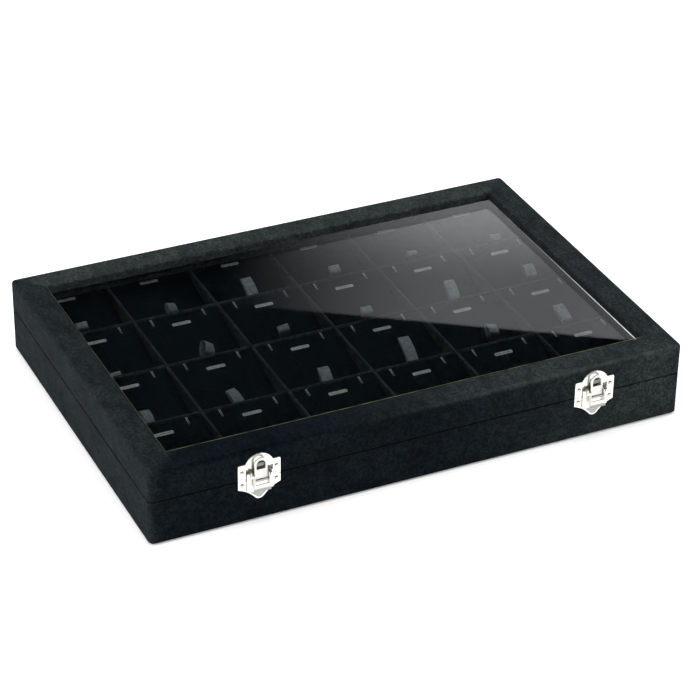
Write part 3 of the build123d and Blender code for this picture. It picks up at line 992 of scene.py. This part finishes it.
SEEN_PULLS = {
    (1, 1): Pull(-0.3, 7.6, 12.5, 0, 2.8, 5.0, -3.2),
    (1, 2): Pull(-0.5, 7.4, 12.5, 28, 2.6, 6.5),
    (1, 3): Pull(-0.7, 17.3, 12.5, 0, 2.0, 20),
    (1, 4): Pull(0.4, 9.4, 12.5, 0, 2.8, 6.0, 1.3),
    (1, 5): Pull(0.0, 6.6, 12.5, 12, 3.2, 3.8),
    (1, 6): Pull(0.8, 4.6, 12.5, 0, 2.8, 5.0, 3.8),
    (2, 1): Pull(-0.3, 2.4, 11.2, 0, 3.6, 4.2, -3.9),
    (2, 2): Pull(3.4, 9.6, 13.2, 34, 5.4, 9.0, -0.8),
    (2, 3): Pull(-0.2, 9.9, 12.8, -14, 4.4, 5.5, -2.4),
    (2, 4): Pull(-0.4, 10.2, 12.5, 0, 2.8, 5.5, -1.2),
    (2, 5): Pull(1.6, 16.5, 14.0, 0, 2.0, 20, 2.4),
    (2, 6): Pull(1.2, 14.5, 14.0, 0, 2.4, 10, 2.8),
    (3, 1): Pull(-1.5, 10.0, 12.5, 18, 3.0, 11, -2.8),
    (3, 2): Pull(-5.0, 10.7, 12.5, 16, 1.8, 12.0),
    (3, 3): Pull(0.2, 11.6, 12.5, 0, 2.4, 12, 0.0),
    (3, 4): Pull(1.5, 21.4, 14.0, 0, 2.0, 21, 1.6),
    (3, 5): Pull(1.2, 13.4, 14.0, 18, 4.0, 8.0, 1.8),
    (3, 6): Pull(-1.0, 19.8, 12.5, 0, 2.2, 14, -0.6),
}
"""The loops of the three rear rows by row and column, both counted from 1."""

HIDDEN_PULLS = ((-1.5, 1.5), (11, 15), (11, 13.5), (-15, 40), (2.4, 4.2), (5, 14))
"""The limits of right, rear, top, turn, opening and shine in the front row, hidden by the rail."""


@dataclass
class RibbonPulls:
    """The satin loops that pull the inserts out."""

    cells: Cells
    ribbon: float = 7.0 * MM
    sheet: float = 0.4 * MM
    stem: float = 9.0 * MM
    rise: float = 1.0 * MM
    foot_gap: float = 0.25 * MM
    bend: Triple = (0.3, 0.12, 0.62)
    steps: int = 44
    stem_steps: int = 3
    lanes: int = 6
    weaves: float = 5.0
    # how the painted highlight fades down each ply
    fade: float = 1.6 * MM
    dimming: float = 0.25
    seed: int = 11

    def attitudes(self) -> dict[tuple[int, int], Pull]:
        """How each loop stands, by row and column, both counted from 1.

        Returns:
            The seen loops, and drawn ones for the front row.
        """
        chance = random.Random(self.seed)
        pulls = dict(SEEN_PULLS)
        for column in range(1, self.cells.columns + 1):
            drawn = [chance.uniform(*limits) for limits in HIDDEN_PULLS]
            pulls[self.cells.rows, column] = Pull(*drawn)
        return pulls

    def loop(self, pull: Pull, foot: Vector) -> tuple[list[Vector], list[Vector], list[Vector]]:
        """Points of one loop, up one ply and down the other.

        Args:
            pull: how it stands.
            foot: where it leaves the gap.

        Returns:
            The path, and the across and out directions along it.
        """
        tip = Vector((pull.right, pull.rear, pull.top)) * MM
        bend = Vector([share * part for share, part in zip(self.bend, tip)])
        points, widths = [], []
        for step in range(-self.stem_steps, self.steps + self.stem_steps + 1):
            t = min(max(step / self.steps, 0.0), 1.0)
            buried = self.stem * max(-step, step - self.steps, 0) / self.stem_steps
            rise = math.sin(math.pi * t)
            parted = self.foot_gap * math.cos(math.pi * t)
            parted += pull.opening * MM / 2 * math.sin(2 * math.pi * t)
            spine = bend * 2 * rise * (1 - rise) + tip * rise * rise
            along = (bend * (1 - 2 * rise) + tip * rise).normalized()
            eased = rise * rise * (3 - 2 * rise)
            level = Vector((1, 0, 0))
            level = (level - along * level.dot(along)).normalized()
            width = Matrix.Rotation(math.radians(pull.turn) * eased, 3, along) @ level
            points.append(foot + spine + width.cross(along) * parted - Vector((0, 0, buried)))
            widths.append(width)
        last = len(points) - 1
        outs = []
        for k, width in enumerate(widths):
            ahead = points[min(k + 1, last)] - points[max(k - 1, 0)]
            outs.append(width.cross(ahead.normalized()).normalized())
        return points, widths, outs

    def lay(self, mesh: Mesh, path: list[Vector], around: int, reach: float) -> None:
        """Lay the weave, with V along the ribbon and U across it, and the painted highlight of its
        tip.

        Args:
            mesh: the ribbon's mesh, as swept makes it.
            path: the points of the loop.
            around: the number of points in each ring.
            reach: how far down from the tip the shine goes.
        """
        weave = mesh.loops.layers.uv.new("weave")
        shine = mesh.verts.layers.float.new("shine")
        mesh.verts.index_update()
        for corner in (corner for face in mesh.faces for corner in face.loops):
            ring, place = divmod(corner.vert.index, around)
            lane = min(place, around - 1 - place)
            corner[weave].uv = (lane / self.lanes, ring / len(path) * self.weaves)
        lengths = [0.0]
        for before, after in zip(path, path[1:]):
            lengths.append(lengths[-1] + (after - before).length)
        tip = lengths[len(path) // 2]
        # painted highlight: full near the tip, fading down each ply
        for vert in mesh.verts:
            gap = abs(lengths[vert.index // around] - tip)
            lit = min(max((reach - gap) / self.fade + 0.5, 0.0), 1.0)
            vert[shine] = lit * (1.0 - self.dimming * min(gap / reach, 1.0))

    def build(self) -> None:
        """Make the loops in place of the stiff ones."""
        lanes = [(-0.5 + k / self.lanes) * self.ribbon for k in range(self.lanes + 1)]
        half = self.sheet / 2
        section = [(u, half) for u in lanes] + [(u, -half) for u in reversed(lanes)]
        level = self.cells.front_top + self.rise
        for (row, column), pull in self.attitudes().items():
            across = self.cells.middle(column - 1) + pull.slide * MM
            along = self.cells.near_edge(row - 1) + self.cells.front_gap / 2
            path, widths, outs = self.loop(pull, Vector((across, along, level)))
            mesh = bmesh.new()
            swept(mesh, path, section, widths, outs)
            self.lay(mesh, path, len(section), pull.shine * MM)
            name = f"ribbon_pull_r{row}c{column}"
            piece = new_piece(name, mesh, Finish.RIBBON, "tray", sharp=60.0)
            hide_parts("ribbon_pulls")


@dataclass
class Hardware:
    """Latches, hinges, pins and the domed nail heads.

    In millimetres, the backing's rings have an inset and a height over the board, and the dome's
    a radius and a height."""

    plate: float = 0.8 * MM
    latch_nail_out: float = 10.775 * MM
    lid_latch_nail: float = SEAM + 5.8 * MM
    tray_latch_nail: float = SEAM - 2.9 * MM
    leaf_nail_out: float = 8.0 * MM
    leaf_nail_level: float = 9.0 * MM
    backing_reach: float = 8.05 * MM
    backing_levels: Pair = (30.9 * MM, 37.2 * MM)
    backing_rings: Pairs = ((0.0, 0.0), (0.0, 0.25), (0.12, 0.35))
    dome: Pairs = (
        (1.30, 0.0), (1.33, 0.10), (1.28, 0.24), (1.05, 0.48), (0.72, 0.64), (0.36, 0.71),
        (0.0, 0.73),
    )
    dome_sides: int = 28

    def nail_places(self, body: str) -> list[Matrix]:
        """Frames of the nail heads of one body.

        Args:
            body: lid for the nails above the seam, tray for those below.

        Returns:
            Frames with Z pointing out of the plate.
        """
        upper = body == "lid"
        latch_level = self.lid_latch_nail if upper else self.tray_latch_nail
        leaf_level = SEAM + (self.leaf_nail_level if upper else -self.leaf_nail_level)
        places = []
        for middles, out, facing, level in (
            (LATCH_MIDDLES, self.latch_nail_out, -1, latch_level),
            (HINGE_MIDDLES, self.leaf_nail_out, 1, leaf_level),
        ):
            turn = Matrix.Rotation(-facing * math.pi / 2, 4, "X")
            for across in (middle + sign * out for middle in middles for sign in (-1, 1)):
                seat = Matrix.Translation((across, facing * (HALF_DEPTH + self.plate), level))
                places.append(seat @ turn)
        return places

    def backing(self, name: str, middle: float) -> None:
        """Lay the thin dull sheet that shows through the opening of a catch plate.

        Args:
            name: the piece's name.
            middle: the latch's place in X.
        """
        mesh = bmesh.new()
        rings = []
        for inset, out in self.backing_rings:
            reach = self.backing_reach - inset * MM
            low, high = self.backing_levels[0] + inset * MM, self.backing_levels[1] - inset * MM
            front = -HALF_DEPTH - out * MM
            corners = ((-reach, low), (reach, low), (reach, high), (-reach, high))
            rings.append([mesh.verts.new((middle + x, front, z)) for x, z in corners])
        skin(mesh, rings)
        piece = new_piece(name, mesh, Finish.BACKING, "lid", sharp=20.0)

    def build(self) -> None:
        """Dress the metal, lay the backings and make the nail heads."""
        dress(["hinge_tray_leaves", "hinge_lid_leaves", "pivot_pins"], Finish.NICKEL)
        for side, middle in zip(("left", "right"), LATCH_MIDDLES):
            dress([f"{side}_lever", f"{side}_bail"], Finish.NICKEL)
            dress([f"{side}_latch_base", f"{side}_catch_plate"], Finish.PLATE)
            self.backing(f"{side}_latch_backing", middle)
        profile = [(radius * MM, height * MM) for radius, height in self.dome]
        for body in ("tray", "lid"):
            mesh = bmesh.new()
            for place in self.nail_places(body):
                turned(mesh, profile, place, self.dome_sides)
            piece = new_piece(f"{body}_nail_heads", mesh, Finish.NICKEL, body, sharp=40.0)
            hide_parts(f"{body}_nails")


@dataclass
class Glazing:
    """The glass and its painted highlights: the bright line along its right edge and the bead along
    the front and left of the opening.

    The points of the line's section are in shares of its width, inwards and up."""

    opening_x: float = 157.0 * MM
    opening_y: float = 102.0 * MM
    glass_top: float = 44.5 * MM
    line: float = 0.5 * MM
    line_section: Pairs = ((0.0, 0.0), (1.0, 0.0), (0.7, 0.5), (0.0, 0.7))
    # size of the bead of the painted highlight round the opening, how far it sinks, and its sides
    fold: float = 0.18 * MM
    fold_sunk: float = 0.09 * MM
    fold_sides: int = 8
    steps: int = 12

    def strip(
        self, name: str, start: Vector, stop: Vector, section: list[Pair], finish: Finish
    ) -> None:
        """Lay one straight strip along the opening.

        Args:
            name: the piece's name.
            start: where it begins.
            stop: where it ends.
            section: its section's points, into the opening and up.
            finish: what it is covered with.
        """
        middle = (start + stop) / 2
        inward = Vector((-middle.x, -middle.y, 0)).normalized()
        count = self.steps + 1
        path = [start.lerp(stop, k / self.steps) for k in range(count)]
        mesh = bmesh.new()
        swept(mesh, path, section, [inward] * count, [Vector((0, 0, 1))] * count)
        new_piece(name, mesh, finish, "lid", sharp=50.0)

    def build(self) -> None:
        """Dress the glass and lay the lines round it."""
        dress(["glass_panel"], Finish.GLASS)
        x, y, level = self.opening_x, self.opening_y, self.glass_top
        edge = [(self.line * u, self.line * v) for u, v in self.line_section]
        ends = Vector((x, -y, level)), Vector((x, y, level))
        # painted highlight along the right edge of the glass
        self.strip("glass_edge_highlight", *ends, edge, Finish.GLASS_EDGE_HIGHLIGHT)
        turns = [2 * math.pi * k / self.fold_sides for k in range(self.fold_sides)]
        bead = [(self.fold * math.cos(t), self.fold * math.sin(t) - self.fold_sunk) for t in turns]
        corner = Vector((-x, -y, LID_TOP))
        # painted highlight along the front and left of the opening
        for name, end in (("front", Vector((x, -y, LID_TOP))), ("left", Vector((-x, y, LID_TOP)))):
            self.strip(f"opening_highlight_{name}", corner, end, bead, Finish.OPENING_HIGHLIGHT)


# ---- studio


@dataclass(frozen=True)
class SoftLight:
    """One large square light that looks at the tray, with its power in watts."""

    name: str
    place: Triple
    size: float
    power: float
    target: Triple = (0.0, 0.0, SEAM)

    def hang(self) -> None:
        """Hang the light where neither the camera nor the glass shows it."""
        data = bpy.data.lights.new(self.name, "AREA")
        data.shape = "SQUARE"
        data.size = self.size
        data.energy = self.power
        light = bpy.data.objects.new(self.name, data)
        bpy.context.scene.collection.objects.link(light)
        light.location = self.place
        look = Vector(self.target) - Vector(self.place)
        light.rotation_euler = look.to_track_quat("-Z", "Y").to_euler()
        light.visible_camera = False
        light.visible_glossy = False
        light.visible_transmission = False
        log.info("%s, %.0f W", self.name, self.power)


@dataclass
class Studio:
    """Floor, room light, soft lights, the pale card that the glass reflects, and the camera.

    The card's corners are given to the right of the picture's middle and above the floor."""

    azimuth: float = math.radians(-25.361)
    elevation: float = math.radians(31.587)
    roll: float = math.radians(0.862)
    distance: float = 1.6856
    shift_right: float = -6.50 * MM
    shift_up: float = -18.64 * MM
    focal: float = 2665.4
    picture: float = 700.0
    sensor: float = 36.0
    clip: Pair = (0.05, 50.0)
    floor_reach: float = 14.0
    floor_cells: int = 8
    room_light: float = 0.96
    seen_light: float = 1.1
    mirrored_light: float = 0.004
    card_distance: float = 1.4
    card_corners: Pairs = ((-0.30, 0.55), (0.62, 0.55), (0.62, 0.93), (-0.30, 0.849))
    lights: tuple[SoftLight, ...] = (
        SoftLight("left_light", (-1.9, -0.2, 1.1), 1.6, 30.0),
        SoftLight("right_light", (1.7, -1.6, 1.3), 1.4, 25.0),
        SoftLight("top_light", (0.1, 0.2, 2.2), 1.8, 30.0),
    )

    def camera(self) -> None:
        """Make the camera at the picture's viewpoint, with its focal length given in pixels."""
        flat, height = math.cos(self.elevation), math.sin(self.elevation)
        away = Vector((math.sin(self.azimuth) * flat, -math.cos(self.azimuth) * flat, height))
        level = Vector((0, 0, 1)).cross(away).normalized()
        upright = away.cross(level)
        right = level * math.cos(self.roll) + upright * math.sin(self.roll)
        up = upright * math.cos(self.roll) - level * math.sin(self.roll)
        place = away * self.distance - right * self.shift_right - up * self.shift_up
        data = bpy.data.cameras.new("camera")
        data.sensor_width = self.sensor
        data.lens = self.focal / self.picture * self.sensor
        data.clip_start, data.clip_end = self.clip
        camera = bpy.data.objects.new("camera", data)
        bpy.context.scene.collection.objects.link(camera)
        facing = Matrix((right, up, away)).transposed().to_4x4()
        camera.matrix_world = Matrix.Translation(place) @ facing
        bpy.context.scene.camera = camera

    def floor(self) -> None:
        """Lay the white floor."""
        mesh = bmesh.new()
        cells = self.floor_cells
        bmesh.ops.create_grid(mesh, x_segments=cells, y_segments=cells, size=self.floor_reach)
        floor = new_object("studio_floor", mesh, Finish.FLOOR)

    def card(self) -> None:
        """Stand the pale card whose reflection lies over the rear right of the glass."""
        right = Vector((math.cos(self.azimuth), math.sin(self.azimuth), 0))
        ahead = Vector((-math.sin(self.azimuth), math.cos(self.azimuth), 0)) * self.card_distance
        mesh = bmesh.new()
        verts = [
            mesh.verts.new(ahead + right * side + Vector((0, 0, height)))
            for side, height in self.card_corners
        ]
        face = mesh.faces.new(verts)
        lay = mesh.loops.layers.uv.new("card")
        for corner, place in zip(face.loops, self.card_corners):
            corner[lay].uv = place
        card = new_object("reflected_card", mesh, Finish.CARD_GLOW)
        card.visible_camera = False
        card.visible_diffuse = False
        card.visible_shadow = False

    def surroundings(self) -> None:
        """Set the room's even light: white behind the floor, and dark where a mirror looks."""
        world = bpy.data.worlds.new("studio")
        r = Recipe(world)
        rays = r.add("LightPath").outputs
        room, seen, dark = (
            r.add("Background", Strength=strength).outputs[0]
            for strength in (self.room_light, self.seen_light, self.mirrored_light)
        )
        unscattered = r.combine(rays["Diffuse Depth"], 0.5, Sum.BELOW)
        mirrored = r.times(rays["Is Glossy Ray"], unscattered)
        unseen = r.add("MixShader", mirrored, room, dark).outputs[0]
        r.end(r.add("MixShader", rays["Is Camera Ray"], unseen, seen))
        bpy.context.scene.world = world

    def build(self) -> None:
        """Set up the whole studio."""
        bpy.context.scene.view_settings.view_transform = "Standard"
        self.camera()
        self.floor()
        self.surroundings()
        for light in self.lights:
            light.hang()
        self.card()


def main() -> None:
    """Build the studio and dress the tray, piece by piece."""
    logging.basicConfig(level=logging.INFO, format="%(name)s: %(message)s")
    cells = Cells()
    for part in (Studio(), CaseBody(), Inserts(cells), RibbonPulls(cells), Hardware(), Glazing()):
        log.info("-- %s", type(part).__name__)
        part.build()


if __name__ == "__main__":
    main()
